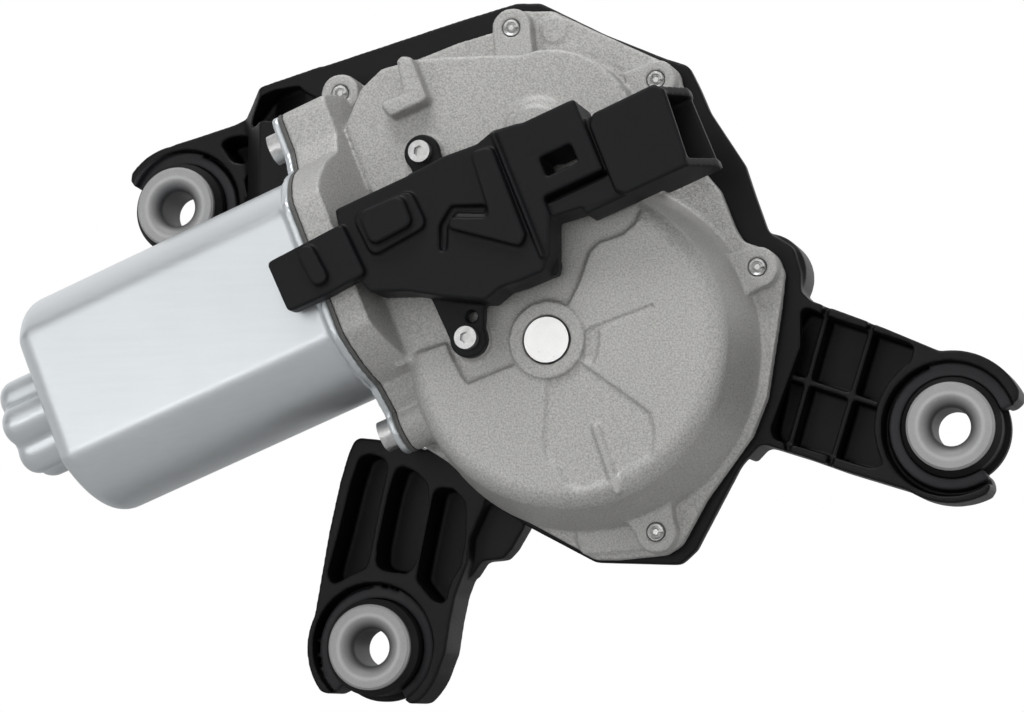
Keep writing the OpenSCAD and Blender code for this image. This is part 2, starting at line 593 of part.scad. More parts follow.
module mounting_bracket() color("darkslategray") difference() {
  union() {
    slab(0, plate_t) plate_outline();
    for (p = cover_screws_at) rod(p[0], p[1], plate_t - past, plate_t + 5, 6.5);
    rod(cover_screws_at[3][0], cover_screws_at[3][1], plate_t - past, leg_depth + 1, 9.1);
    difference() {
      union() {
        right_leg();
        bottom_leg();
        left_leg();
        for (h = holders) rod(h[0][0], h[0][1], h[1], h[1] + leg_depth, h[4]);
      }
      for (h = holders) translate([h[0][0], 0, h[0][1]]) slab(h[1] - past - 20, h[1] + groove)
        translate([h[5][0], h[5][1]]) circle(r = h[4] - holder_wall);
      for (h = holders) translate([h[0][0], 0, h[0][1]]) slab(h[1] - past, h[1] + leg_depth + past)
        mouth(h[2], h[3]);
    }
    for (h = holders) cradle(h[0], h[1], h[2], h[3]);
    rod(0, 0, plate_t - past, plate_t + 6, 16);
    translate([0, plate_t, 0]) rotate([-90, 0, 0]) cylinder(h = tube_len, r1 = 11, r2 = 8.5);
  }
  for (h = holders) {
    translate([h[0][0], 0, h[0][1]]) slab(h[1] - past, h[1] + leg_depth + past) {
      tip_cut(h[4], h[2], 1);
      if (h[3] < 200) tip_cut(h[4], h[3], -1);
    }
    rod(h[0][0], h[0][1], -20, 30, grommet_r);
    rod(h[0][0], h[0][1], h[1] + cradle_back, 30, grommet_flange_r + 0.3);
  }
  rod(0, 0, -past, plate_t + tube_len + past, out_r + bush_wall);
  for (p = cover_screws_at) rod(p[0], p[1], -past, 40, cover_screw_d / 2 + screw_gap);
  for (p = cover_screws_at) rod(p[0], p[1], plate_t, 40, 4.2);
  motor_frame() across(cup_end_u, face_u + motor_flange + 0.3) double_d(can_r + 2, can_flat + 2, can_corner);
}

module cover_gasket() color("black") difference() {
  union() {
    slab(-gasket_t, 0) cover_outline();
    for (p = cover_screws_at) rod(p[0], p[1], -gasket_t, 0, boss_rim);
  }
  rod(0, 0, -gasket_t - past, past, wheel_tip_r + 0.6);
  tilted() translate([-24, -gasket_t - past, 44.5]) cube([44, gasket_t + 2 * past, 15.5]);
  tilted() translate([face_u - 10, -gasket_t - past, -40])
    cube([10 + motor_flange + 0.3, gasket_t + 2 * past, 120]);
  for (p = cover_screws_at)
    rod(p[0], p[1], -gasket_t - past, past, cover_screw_d / 2 + screw_gap);
}

module cover_screws() color("gainsboro") for (p = cover_screws_at) {
  rod(p[0], p[1], -8.4, plate_t + 0.5, cover_screw_d / 2);
  difference() {
    rod(p[0], p[1], plate_t, plate_t + 2.8, 3.8);
    translate([p[0], plate_t + 1.2, p[1]]) rotate([-90, 0, 0]) cylinder(h = 3, r = 2, $fn = 6);
  }
}

module flange_screws() color("gainsboro") motor_frame() screw_places() difference() {
  union() {
    spin(can_flange_u - 0.5, face_u + flange_thread, 2);
    spin(can_flange_u - 3.2, can_flange_u, 3.6);
  }
  translate([can_flange_u - 4, 0, 0]) rotate([0, 90, 0]) cylinder(h = 2.4, r = 1.7, $fn = 6);
}

module connector_housing() color("#26282b") tilted() difference() {
  union() {
    // Tab that reaches over the motor's flange, with its raised bar
    slab(-40, -35.4) polygon(rounded([[-49, 38.6], [-30, 39.5], [-29, 27], [-38.9, 26.3], [-48.4, 26.4]], 1));
    slab(-42, -39) long_hole([-39.3, 36], [-38.6, 30.4], 1.9);
    // Body over the worm tunnel
    slab(-38, -22) polygon(rounded([[-31.5, 39.5], [-30.8, 43.6], [-12.8, 43.6], [-3.5, 44.1],
      [4, 43.4], [8.5, 44.6], [15, 43.6], [15, 24], [-30.4, 24.1], [-31.7, 27]], 0.8));
    slab(-38, -drum_h - 1.2) polygon(rounded([[-31, 25], [-30, 23.3], [-22.3, 20], [-14.6, 15.1],
      [-6.9, 10.9], [-2.6, 12.1], [1.1, 11.6], [7.2, 11.4], [10, 14.5], [13, 22], [15, 25]], 0.8));
    // Rounded box for the capacitor
    slab(-39.6, -37) polygon(rounded([[-27.3, 40.4], [-13, 40], [-12.4, 31], [-26.4, 29.9]], 2));
    slab(-41.6, -37) polygon(rounded([[-25.4, 39.6], [-14.8, 39.4], [-14.8, 32.2], [-25.2, 31.6]], 1.8));
    // Three-cornered field and the rim along the body's right side
    slab(-40, -37) polygon(rounded([[2.4, 41.8], [7.2, 41], [6.9, 20], [5, 18], [-8.3, 28.5],
      [-7.2, 30.6], [1.2, 26.6]], 1.2));
    slab(-39, -37) bar([8.4, 44], [8.4, 14], 1);
    // Window block and plug socket
    slab(-38, -24) polygon(rounded([[9, 43.4], [27.5, 43.4], [27.5, 20], [9, 22.5]], 0.6));
    slab(-36.4, -24) polygon([[20, 38.6], [32, 38.6], [32, 19.3], [20, 19.3]]);
    slab(-38, -22) polygon(rounded([[30, 38.6], [44.6, 38.8], [46.3, 36.8], [45.2, 21.5], [43.6, 19.3],
      [30, 19.3], [28.2, 21], [28.4, 36.6]], 0.8));
    translate([0, 0, 19.3]) linear_extrude(2) socket_side();
    translate([0, 0, 36.4]) linear_extrude(2) socket_side();
    slab(-24, -22) translate([40, 20]) square([9, 17]);
    // Screw ears
    slab(-18, -deck_h - 1) polygon([[-16.1, 44], [-16.1, 53], [-8.7, 53], [-8, 44]]);
    slab(-24, -deck_h - 1) polygon([[-16.1, 42], [-16.1, 48], [-8.5, 48], [-7, 42]]);
    rod(-12.4, 53, -18, -deck_h - 1, ear_r);
    slab(-30, -drum_h - 1) polygon([[-19.2, 6.7], [-19.8, 18], [-8.4, 14], [-11.6, 6.7]]);
    rod(-15.4, 6.7, -30, -drum_h - 1, ear_r);
    slab(-31, -drum_h - 1.2) polygon(rounded([[4, 16], [7.6, 17], [10, 13.6], [8.4, 11.2],
      [5.4, 11.6]], 0.8));
  }
  slab(-50, 0) translate([15.6, 30.2]) square([7.5, 4.4]);
  slab(-39, -37.5) difference() {
    polygon(rounded([[14.2, 36.4], [26, 36.4], [26, 28.8], [14.2, 28.8]], 0.6));
    polygon(rounded([[14.6, 36], [25.6, 36], [25.6, 29.2], [14.6, 29.2]], 0.6));
  }
  slab(-39, -33) translate([13.2, 25]) square([14.6, 1.4]);
  slab(-39, -36.6) translate([13.2, 19]) square([14.6, 7]);
  // Curved groove beside the three-cornered field
  slab(-39, -36.8) polygon(rounded([[-12.4, 25], [-10.2, 30.4], [-6.2, 33.2], [1, 30], [0.3, 28.4],
    [-5.8, 31.4], [-8.6, 29.4], [-10.8, 24.6]], 0.6));
  slab(-36, -24) translate([31.5, 21.3]) square([20, 15.1]);
  rod(-12.4, 53, -20, -14, 1.7);
  rod(-15.4, 6.7, -32, -20, 1.7);
  rod(-12.8, 10.9, -32, -20, 1.3);
  translate([0, -axis_depth, axis_off]) spin(-60, tunnel_end_u + 3, tunnel_r + 0.7);
  translate([0, -axis_depth, axis_off]) block_form(0.3);
  rotate([0, tilt, 0]) rod(drum_x, drum_z, -drum_h - 0.3, 0, drum_foot_r + 0.3);
  terminals(seat_gap);
}
module socket_side() polygon([[40, -38], [44.6, -38], [49.5, -26], [49.5, -22], [40, -22]]);

module terminals(gap) for (i = [0:3])
  translate([29 - gap, -30.4 - gap, 23.4 + 3.4 * i - gap]) cube([12 + gap, 0.8, 2.2] + gap * [1, 2, 2]);
module connector_terminals() color("gold") tilted() terminals(0);

module connector_screws() color("gainsboro") tilted()
  for (p = [[-12.4, 53, 18], [-15.4, 6.7, 30]]) difference() {
    union() {
      rod(p[0], p[1], -p[2] - 0.5, -p[2] + 8, 1.5);
      rod(p[0], p[1], -p[2] - 2, -p[2], 2.5);
    }
    translate([p[0], -p[2] - 3, p[1]]) rotate([-90, 0, 0]) cylinder(h = 2, r = 1.3, $fn = 6);
  }

module control_board() color("darkgreen") tilted()
  slab(-5.6, -4) translate([-23, 45.5]) square([42, 13.5]);
module board_parts() color("#303030") tilted() {
  slab(-8, -5.6) translate([-18, 48]) square([8, 8]);
  slab(-7.2, -5.6) translate([-4, 47]) square([5, 4]);
  slab(-9.5, -5.6) translate([6, 48]) square([5, 9]);
  rod(15, 52, -10, -5.6, 2.2);
}

module spindle_bushes() color("goldenrod")
  for (y = [[-0, 12], [plate_t + tube_len - 12, plate_t + tube_len]]) difference() {
    rod(0, 0, y[0], y[1], out_r + bush_wall - seat_gap);
    rod(0, 0, y[0] - past, y[1] + past, out_r + run_gap);
  }

module shaft_seal() color("black") translate([0, plate_t + tube_len, 0]) rotate([-90, 0, 0])
  rotate_extrude() translate([out_r + 0.1, 0.1]) polygon([[0, 0], [2.6, 0], [2.6, 2], [0.6, 3], [0, 3]]);

// The rear flange bears on the back of the holder's cradle
module grommet(at, front, leg) color("#1c1c1e") translate([at[0], 0, at[1]])
  rotate([-90, 0, 0]) rotate_extrude() polygon([[bush_wall_r + 0.1, 1.6 - front], [9.6, 1.6 - front],
    [grommet_r - seat_gap, 3 - front], [grommet_r - seat_gap, leg + cradle_back + seat_gap],
    [grommet_flange_r, leg + cradle_back + seat_gap], [grommet_flange_r, leg + cradle_back + 2.6],
    [grommet_r - 1, bush_len - front - 1.2], [bush_wall_r + 0.1, bush_len - front - 1.2]]);
module left_grommet() grommet(left_at, left_front, left_set);
module right_grommet() grommet(right_at, right_front, 0);
module bottom_grommet() grommet(bottom_at, bottom_front, 0);

module bush(at, front) color("lightgray") translate([at[0], -front, at[1]])
  rotate([-90, 0, 0]) rotate_extrude() difference() {
    polygon([[bush_bore_d / 2, 0], [bush_collar_d / 2 - 0.5, 0], [bush_collar_d / 2, 0.5],
      [bush_collar_d / 2, 1.5], [bush_wall_r, 1.5], [bush_wall_r, bush_len], [bush_bore_d / 2, bush_len]]);
    flare(0, 1);
    flare(bush_len, -1);
  }
module flare(y, way) translate([bush_bore_d / 2 + flare_r, y]) difference() {
  translate([-flare_r - past, way > 0 ? -past : -flare_r]) square([flare_r + past, flare_r + past]);
  translate([0, way * flare_r]) circle(r = flare_r);
}
module left_bush() bush(left_at, left_front);
module right_bush() bush(right_at, right_front);
module bottom_bush() bush(bottom_at, bottom_front);

module armature_shaft() color("silver") motor_frame() spin(cup_end_u + 4, shaft_end_u, shaft_r);

module worm() color("silver") motor_frame() difference() {
  union() {
    spin(-worm_len / 2, worm_len / 2, worm_root_r);
    translate([-lead * floor(worm_len / lead / 2), 0, 0]) rotate([-90, 0, 0])
      band(worm_root_r - 0.3, worm_tip_r, tooth_w / 2 + (1.2 * gear_module + 0.3) * tan(pressure_angle),
        tooth_w / 2 - gear_module * tan(pressure_angle), lead, 2 * floor(worm_len / lead / 2), 20);
  }
  spin(-worm_len, worm_len, shaft_r + seat_gap);
}

module armature_core() color("dimgray") motor_frame() difference() {
  spin(core_u, core_end_u, core_r);
  spin(core_u - past, core_end_u + past, shaft_r + seat_gap);
  for (i = [0:core_slots - 1]) rotate([360 * i / core_slots, 0, 0]) {
    translate([core_u - past, -0.8, core_r - 2]) cube([core_len + 2 * past, 1.6, 4]);
    translate([0, 0, core_r - 4.5]) spin(core_u - past, core_end_u + past, 2.6);
  }
}

module windings() color("#b5652b") motor_frame() {
  for (u = [core_u - 5, core_end_u]) difference() {
    spin(u, u + 5, core_r - 2);
    spin(u - past, u + 6, shaft_r + 1);
  }
}

module commutator() color("#b87333") motor_frame() difference() {
  spin(comm_u, comm_end_u, comm_r);
  spin(comm_u - past, comm_end_u + past, shaft_r + seat_gap);
}

module speed_magnet() color("black") motor_frame() difference() {
  spin(magnet_u, magnet_u + 4, 7);
  spin(magnet_u - past, magnet_u + 5, shaft_r + seat_gap);
}

// Half the angle that a tooth of the wheel covers at radius r
function roll(r) = sqrt(pow(r / (wheel_r * cos(pressure_angle)), 2) - 1) * 180 / PI
  - acos(wheel_r * cos(pressure_angle) / r);
function half_tooth(r) = tooth_w / (2 * wheel_r) * 180 / PI + roll(wheel_r) - roll(r);

// Turn of the helical teeth over the width of the rim
rim_turn = wheel_face * gear_module / worm_pitch_d / wheel_r * 180 / PI;

module worm_wheel() color("ivory") translate([0, -axis_depth + wheel_face / 2, 0])
  rotate([90, 0, 0]) difference() {
    linear_extrude(wheel_face, twist = -rim_turn, slices = 3)
      rotate(90 + tilt - rim_turn / 2) polygon([for (i = [0:wheel_teeth - 1], s = [-1, 1], k = [0:2])
        let (r = s < 0 ? [wheel_root_r, wheel_r, wheel_tip_r][k] : [wheel_tip_r, wheel_r, wheel_root_r][k],
          a = 360 * (i + 0.5) / wheel_teeth + s * half_tooth(max(r, wheel_r * cos(pressure_angle))))
        r * [cos(a), sin(a)]]);
    translate([0, 0, -past]) cylinder(h = wheel_face + 2 * past, r = 9 + seat_gap);
    for (z = [-past, wheel_face - 2]) translate([0, 0, z]) difference() {
      cylinder(h = 2 + past, r = wheel_root_r - 2.5);
      translate([0, 0, -past]) cylinder(h = 4 + 2 * past, r = 12);
    }
  }

module wheel_hub() color("silver") difference() {
  rod(0, 0, -axis_depth - wheel_face / 2 - 0.5, -axis_depth + wheel_face / 2 + 2, 9);
  rod(0, 0, -axis_depth - wheel_face, 0, out_r + seat_gap);
}

module output_shaft() color("white") {
  rod(0, 0, -drum_h - 0.7, plate_t + tube_len + 6, out_r);
  translate([0, plate_t + tube_len + 6, 0]) rotate([-90, 0, 0]) cylinder(h = 6, r1 = out_r, r2 = out_r - 1);
  rod(0, 0, plate_t + tube_len + 12, tip_h, thread_d / 2);
}

module retaining_ring() color("gray") difference() {
  rod(0, 0, -1.6, -0.6, 8);
  rod(0, 0, -3, 1, out_r + seat_gap);
}

module position_magnet() color("black") difference() {
  rod(0, 0, -axis_depth + wheel_face / 2 + 2.1, -2, 7.5);
  rod(0, 0, -axis_depth, 0, out_r + seat_gap);
}

motor_can();
magnets();
rear_bearing();
bearing_retainer();
brush_card();
brush_tubes();
brushes();
brush_springs();
chokes();
flange_gasket();
gear_housing();
front_bearing();
worm_end_bush();
thrust_screw();
shaft_end_bush();
mounting_bracket();
cover_gasket();
cover_screws();
flange_screws();
connector_housing();
connector_terminals();
connector_screws();
control_board();
board_parts();
spindle_bushes();
shaft_seal();
left_grommet();
right_grommet();
bottom_grommet();
left_bush();
right_bush();
bottom_bush();
armature_shaft();
worm();
armature_core();
windings();
commutator();
speed_magnet();
worm_wheel();
wheel_hub();
output_shaft();
retaining_ring();
position_magnet();
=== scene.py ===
import math
import bmesh
import bpy
from mathutils import Matrix, Vector


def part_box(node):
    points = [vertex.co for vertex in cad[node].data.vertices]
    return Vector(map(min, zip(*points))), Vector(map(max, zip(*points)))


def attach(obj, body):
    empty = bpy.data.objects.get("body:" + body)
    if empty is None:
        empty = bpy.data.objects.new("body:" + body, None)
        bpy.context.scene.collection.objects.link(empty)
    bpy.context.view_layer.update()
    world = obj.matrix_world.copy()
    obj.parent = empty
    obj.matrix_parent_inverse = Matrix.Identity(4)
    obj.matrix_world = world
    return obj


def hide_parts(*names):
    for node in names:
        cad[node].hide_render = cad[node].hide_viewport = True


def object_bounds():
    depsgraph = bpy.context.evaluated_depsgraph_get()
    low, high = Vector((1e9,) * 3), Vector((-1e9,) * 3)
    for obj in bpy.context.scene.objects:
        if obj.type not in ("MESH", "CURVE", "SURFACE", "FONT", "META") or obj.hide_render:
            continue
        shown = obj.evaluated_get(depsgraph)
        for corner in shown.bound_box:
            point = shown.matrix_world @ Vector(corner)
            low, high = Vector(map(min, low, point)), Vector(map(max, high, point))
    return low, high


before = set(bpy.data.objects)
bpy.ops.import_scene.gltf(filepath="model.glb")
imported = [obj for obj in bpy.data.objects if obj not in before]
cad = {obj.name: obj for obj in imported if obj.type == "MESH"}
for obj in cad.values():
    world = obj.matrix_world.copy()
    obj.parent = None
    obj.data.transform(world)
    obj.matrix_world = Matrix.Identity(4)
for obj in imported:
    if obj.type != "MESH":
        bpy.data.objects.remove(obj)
cad_box = [list(map(float, corner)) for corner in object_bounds()]
scene = bpy.context.scene
scene.view_settings.view_transform = "Standard"

# Camera: a long lens in front of the gear drum, 16 degrees to the right of the output shaft
# and 7 degrees below it, aimed a little to the left of the shaft's end.
camera_azimuth = math.radians(16)
camera_elevation = math.radians(-7)
camera_place = Vector((0.17076, -0.64909, -0.08282))
backward = Vector((math.sin(camera_azimuth) * math.cos(camera_elevation),
                   -math.cos(camera_azimuth) * math.cos(camera_elevation),
                   math.sin(camera_elevation)))
rightward = Vector((math.cos(camera_azimuth), math.sin(camera_azimuth), 0))
upward = backward.cross(rightward)
camera_data = bpy.data.cameras.new("camera")
camera_data.lens = 105.47
camera_data.sensor_width = 36
camera_data.clip_start = 0.05
camera_data.clip_end = 30
camera = bpy.data.objects.new("camera", camera_data)
camera.matrix_world = Matrix.Translation(camera_place) @ Matrix(
    (rightward, upward, backward)).transposed().to_4x4()
scene.collection.objects.link(camera)
scene.camera = camera


class Field:
    """A value or colour that changes over a surface. Operators on it add Math nodes."""

    def __init__(self, tree, socket=None):
        self.tree = tree
        self.socket = socket

    def make(self, kind, settings=None, links=None, out=0):
        """Any other node: its type, its settings, and the values or Fields of its sockets."""
        node = self.tree.nodes.new(kind)
        for name, value in (settings or {}).items():
            setattr(node, name, value)
        for name, value in (links or {}).items():
            if isinstance(value, Field):
                self.tree.links.new(value.socket, node.inputs[name])
            else:
                node.inputs[name].default_value = value
        return Field(self.tree, node.outputs[out])

    def math(self, operation, left, right=0.0, clamp=False):
        return self.make("ShaderNodeMath", {"operation": operation, "use_clamp": clamp},
                         {0: left, 1: right})

    def __add__(self, other):
        return self.math("ADD", self, other)

    def __radd__(self, other):
        return self.math("ADD", other, self)

    def __sub__(self, other):
        return self.math("SUBTRACT", self, other)

    def __rsub__(self, other):
        return self.math("SUBTRACT", other, self)

    def __mul__(self, other):
        return self.math("MULTIPLY", self, other)

    def __rmul__(self, other):
        return self.math("MULTIPLY", other, self)

    def __abs__(self):
        return self.math("ABSOLUTE", self)

    def clamp(self):
        return self.math("ADD", self, 0.0, clamp=True)

    def noise(self, size, detail, stretch=(1, 1, 1), turn=0.0):
        """Noise from 0 to 1 in patches about size metres wide, turned about Y by turn."""
        place = self.make("ShaderNodeTexCoord", out="Object")
        place = self.make("ShaderNodeMapping", None, {
            "Vector": place, "Rotation": (0, turn, 0), "Scale": stretch})
        return self.make("ShaderNodeTexNoise", None, {
            "Vector": place, "Scale": 1 / size, "Detail": detail})

    def mix(self, first, second):
        """The first colour where this value is 0, the second where it is 1."""
        first, second = [(*colour, 1) if isinstance(colour, tuple) else colour
                         for colour in (first, second)]
        # A Mix node's colours are its inputs 6 and 7 and its output 2.
        return self.make("ShaderNodeMix", {"data_type": "RGBA"},
                         {"Factor": self, 6: first, 7: second}, out=2)

    def bump(self, depth, strength):
        return self.make("ShaderNodeBump", None, {
            "Height": self, "Distance": depth, "Strength": strength})

    def feed(self, shader, name):
        self.tree.links.new(self.socket, shader.inputs[name])


# Surround and floor: a white wall that camera, metal and glass see at full strength. It
# fades to a dim room on the lamps' side for metal. The floor is white and keeps the shadow.
def rays_that_see_white(field, gloss):
    """1 for camera and glass rays, gloss for glossy rays, 0 for the rays that light pieces."""
    camera_ray, glossy_ray, glass_ray = [
        field.make("ShaderNodeLightPath", out=name)
        for name in ("Is Camera Ray", "Is Glossy Ray", "Is Transmission Ray")]
    return (camera_ray + glossy_ray * gloss + glass_ray).clamp()


white = (1, 1, 1, 1)
room_light = 0.26
wall_at_sides, wall_rise_to_back = 0.35, 1.4
room = bpy.data.worlds.new("room")
room.use_nodes = True
scene.world = room
room_field = Field(room.node_tree)
room_shader = room.node_tree.nodes["Background"]
direction = room_field.make("ShaderNodeTexCoord", out="Generated")
direction_y = room_field.make("ShaderNodeSeparateXYZ", None, {0: direction}, out="Y")
wall = (direction_y * wall_rise_to_back + wall_at_sides).clamp()
white_wall = rays_that_see_white(room_field, wall)
(white_wall * (1 - room_light) + room_light).feed(room_shader, "Strength")
room_shader.inputs["Color"].default_value = white

floor_drop, floor_reach = 0.008, 3.0
floor_grey, floor_glow = 0.62, 0.66
dark_reach, white_reach = 0.25, 0.75
floor_mesh = bpy.data.meshes.new("floor")
floor_mesh.from_pydata([(x * floor_reach, y * floor_reach, cad_box[0][2] - floor_drop)
                        for x, y in ((-1, -1), (1, -1), (1, 1), (-1, 1))], [], [(0, 1, 2, 3)])
floor = bpy.data.objects.new("floor", floor_mesh)
scene.collection.objects.link(floor)
floor_paint = bpy.data.materials.new("floor_paint")
floor_paint.use_nodes = True
floor_field = Field(floor_paint.node_tree)
floor_shader = floor_paint.node_tree.nodes["Principled BSDF"]
floor_shader.inputs["Base Color"].default_value = (floor_grey, floor_grey, floor_grey, 1)
floor_shader.inputs["Roughness"].default_value = 0.8
place = floor_field.make("ShaderNodeTexCoord", out="Object")
from_middle = floor_field.make("ShaderNodeVectorMath", {"operation": "LENGTH"},
                               {0: place}, out="Value")
far_floor = ((from_middle - dark_reach) * (1 / (white_reach - dark_reach))).clamp()
glow = floor_field.make("ShaderNodeEmission", None, {"Color": white, "Strength": 1.0})
floor_field.make("ShaderNodeMixShader", None, {
    0: rays_that_see_white(floor_field, far_floor) * floor_glow,
    1: Field(floor_paint.node_tree, floor_shader.outputs[0]),
    2: glow}).feed(floor_paint.node_tree.nodes["Material Output"], "Surface")
floor_mesh.materials.append(floor_paint)


# Lamps: a strong soft box high above the front, a wide weak one in front, a narrow strip
# just over the floor that draws the line along the can's lower bend, and a fill at right.
def soft_box(name, place, size, power):
    """A rectangular lamp of some watts that faces the output shaft."""
    data = bpy.data.lights.new(name, "AREA")
    data.shape = "RECTANGLE"
    data.size, data.size_y = size
    data.energy = power
    lamp = bpy.data.objects.new(name, data)
    lamp.location = place
    lamp.rotation_euler = (-Vector(place)).to_track_quat("-Z", "Y").to_euler()
    scene.collection.objects.link(lamp)


soft_box("key", place=(-0.15, -0.62, 1.05), size=(0.7, 0.5), power=9)
soft_box("front", place=(-0.40, -1.30, 0.34), size=(1.5, 0.72), power=3.1)
soft_box("strip", place=(-0.25, -0.80, -0.05), size=(1.0, 0.05), power=0.8)
soft_box("fill", place=(1.0, -0.60, 0.15), size=(0.5, 0.6), power=2.0)


# Motor can: deep-drawn sheet steel with two flats, a lobed cup for the rear bearing and a
# flange. It is zinc plated, which leaves a satin sheen with faint drawing marks along it.
def new_finish(name, **sockets):
    """A new material: returns it, its shader and a Field for its patterns."""
    material = bpy.data.materials.new(name)
    material.use_nodes = True
    shader = material.node_tree.nodes["Principled BSDF"]
    for socket, value in sockets.items():
        shader.inputs[socket.replace("_", " ")].default_value = value
    return material, shader, Field(material.node_tree)


def lay_on(shader, colour, roughness, relief):
    """Gives a shader the colour, roughness and relief that change over its surface."""
    colour.feed(shader, "Base Color")
    roughness.feed(shader, "Roughness")
    relief.feed(shader, "Normal")


def dress(material, *nodes):
    """Gives the CAD's own pieces a material."""
    for name in nodes:
        cad[name].data.materials.clear()
        cad[name].data.materials.append(material)


def soften(node, name, material, voxel, rounds, share):
    """Replaces a CAD node by the same form with its edges worn round."""
    piece = bpy.data.objects.new(name, cad[node].data.copy())
    scene.collection.objects.link(piece)
    voxels = piece.modifiers.new("voxels", "REMESH")
    voxels.mode = "VOXEL"
    voxels.voxel_size = voxel
    smoothing = piece.modifiers.new("smoothing", "SMOOTH")
    smoothing.factor = 0.5
    smoothing.iterations = rounds
    piece.modifiers.new("fewer_faces", "DECIMATE").ratio = share
    evaluated = piece.evaluated_get(bpy.context.evaluated_depsgraph_get())
    ready = bpy.data.meshes.new_from_object(evaluated)
    piece.modifiers.clear()
    piece.data = ready
    ready.name = name
    ready.shade_smooth()
    ready.materials.clear()
    ready.materials.append(material)
    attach(piece, "frame")
    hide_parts(node)


motor_slope = math.radians(-22)
dark_zinc, light_zinc = (0.545, 0.575, 0.595), (0.65, 0.68, 0.70)
satin_zinc, shader, field = new_finish("satin_zinc", Metallic=0.7)
drawing_marks = field.noise(0.0012, detail=4, stretch=(0.06, 1, 1), turn=motor_slope)
grain = field.noise(0.00035, detail=3)
stains = field.noise(0.025, detail=3)
lay_on(shader,
       colour=(stains * 0.5 + drawing_marks * 0.5).mix(dark_zinc, light_zinc),
       roughness=drawing_marks * 0.10 + grain * 0.06 + 0.27,
       relief=(drawing_marks * 0.6 + grain * 0.4).bump(0.00002, 0.35))
soften("motor_can", "drawn_can", satin_zinc, voxel=0.0005, rounds=14, share=0.6)

# Field magnets: two sintered ferrite shells glued into the can, dark grey and slightly
# porous. The sensor magnets on the armature and on the gear wheel are rings of the same.
dark_ferrite, grey_ferrite = (0.035, 0.035, 0.038), (0.075, 0.075, 0.08)
ferrite, shader, field = new_finish("ferrite")
pores = field.noise(0.0004, detail=4)
clouds = field.noise(0.008, detail=2)
lay_on(shader,
       colour=(pores * 0.7 + clouds * 0.3).mix(dark_ferrite, grey_ferrite),
       roughness=pores * 0.2 + 0.5,
       relief=pores.bump(0.00008, 0.6))
dress(ferrite, "magnets", "speed_magnet", "position_magnet")

# Plain bearings: pressed from bronze powder, soaked in oil and pressed into their seats. The
# one whose rim shows round the output shaft's end is of iron powder, coloured near black as
# painted shade for the gap round the shaft.
dark_bronze, light_bronze = (0.36, 0.24, 0.13), (0.56, 0.40, 0.24)
sinter_bronze, shader, field = new_finish("sinter_bronze", Metallic=0.85)
pores = field.noise(0.00025, detail=4)
oil = field.noise(0.004, detail=2)
lay_on(shader,
       colour=(oil * 0.6 + pores * 0.4).mix(dark_bronze, light_bronze),
       roughness=pores * 0.25 + 0.32,
       relief=pores.bump(0.00006, 0.6))
dress(sinter_bronze, "rear_bearing", "worm_end_bush", "spindle_bushes")

# Painted shade: near black, so the bush's rim reads as the shaded gap round the shaft.
gap_shade_black, gap_shade_grey = (0.03, 0.029, 0.027), (0.09, 0.086, 0.08)
gap_shaded_iron, shader, field = new_finish("gap_shaded_iron", Metallic=0.6)
pores = field.noise(0.00025, detail=4)
lay_on(shader,
       colour=pores.mix(gap_shade_black, gap_shade_grey),
       roughness=pores * 0.25 + 0.32,
       relief=pores.bump(0.00006, 0.6))
dress(gap_shaded_iron, "shaft_end_bush")

# Armature: a ground steel shaft with the worm rolled into it, a laminated core pressed on,
# and coils of enamelled wire that end at the copper commutator. The other bare steel pieces,
# the output shaft among them, are ground or turned and share the shaft's finish.
dull_steel, clean_steel = (0.60, 0.60, 0.59), (0.78, 0.78, 0.77)
bright_steel, shader, field = new_finish("bright_steel", Metallic=0.9)
turning_marks = field.noise(0.0004, detail=3, stretch=(1, 0.15, 1))
haze = field.noise(0.003, detail=2)
lay_on(shader,
       colour=(haze * 0.5 + turning_marks * 0.5).mix(dull_steel, clean_steel),
       roughness=turning_marks * 0.12 + haze * 0.08 + 0.20,
       relief=turning_marks.bump(0.00001, 0.3))
dress(bright_steel, "armature_shaft", "worm", "wheel_hub", "output_shaft", "retaining_ring",
      "front_bearing", "bearing_retainer", "brush_springs")

sheet_gap, sheet_edge = (0.16, 0.16, 0.165), (0.34, 0.33, 0.32)
sheet_stack, shader, field = new_finish("sheet_stack", Metallic=0.7)
across_sheets = field.noise(0.0005, detail=1, stretch=(1, 0.02, 0.02), turn=motor_slope)
rust_bloom = field.noise(0.004, detail=3)
lay_on(shader,
       colour=(across_sheets * 0.7 + rust_bloom * 0.3).mix(sheet_gap, sheet_edge),
       roughness=across_sheets * 0.2 + 0.35,
       relief=across_sheets.bump(0.0001, 0.8))
dress(sheet_stack, "armature_core")

between_wires, copper = (0.28, 0.09, 0.03), (0.62, 0.27, 0.11)
enamelled_wire, shader, field = new_finish("enamelled_wire", Metallic=0.6, Coat_Weight=0.4)
strands = field.noise(0.0006, detail=1, stretch=(0.12, 1, 1), turn=motor_slope)
lay_on(shader,
       colour=(strands * 1.4 - 0.2).clamp().mix(between_wires, copper),
       roughness=strands * 0.15 + 0.25,
       relief=strands.bump(0.0003, 0.8))
dress(enamelled_wire, "windings", "commutator", "chokes")

# Brush gear: two carbon brushes in brass tubes on a card of paper laminate, with a choke
# coil beside each. Coil springs press the brushes on the commutator.
dark_laminate, light_laminate = (0.16, 0.085, 0.035), (0.30, 0.17, 0.075)
paper_laminate, shader, field = new_finish("paper_laminate")
fibres = field.noise(0.0008, detail=4, stretch=(0.3, 1, 1))
lay_on(shader,
       colour=fibres.mix(dark_laminate, light_laminate),
       roughness=fibres * 0.2 + 0.40,
       relief=fibres.bump(0.00004, 0.4))
dress(paper_laminate, "brush_card")

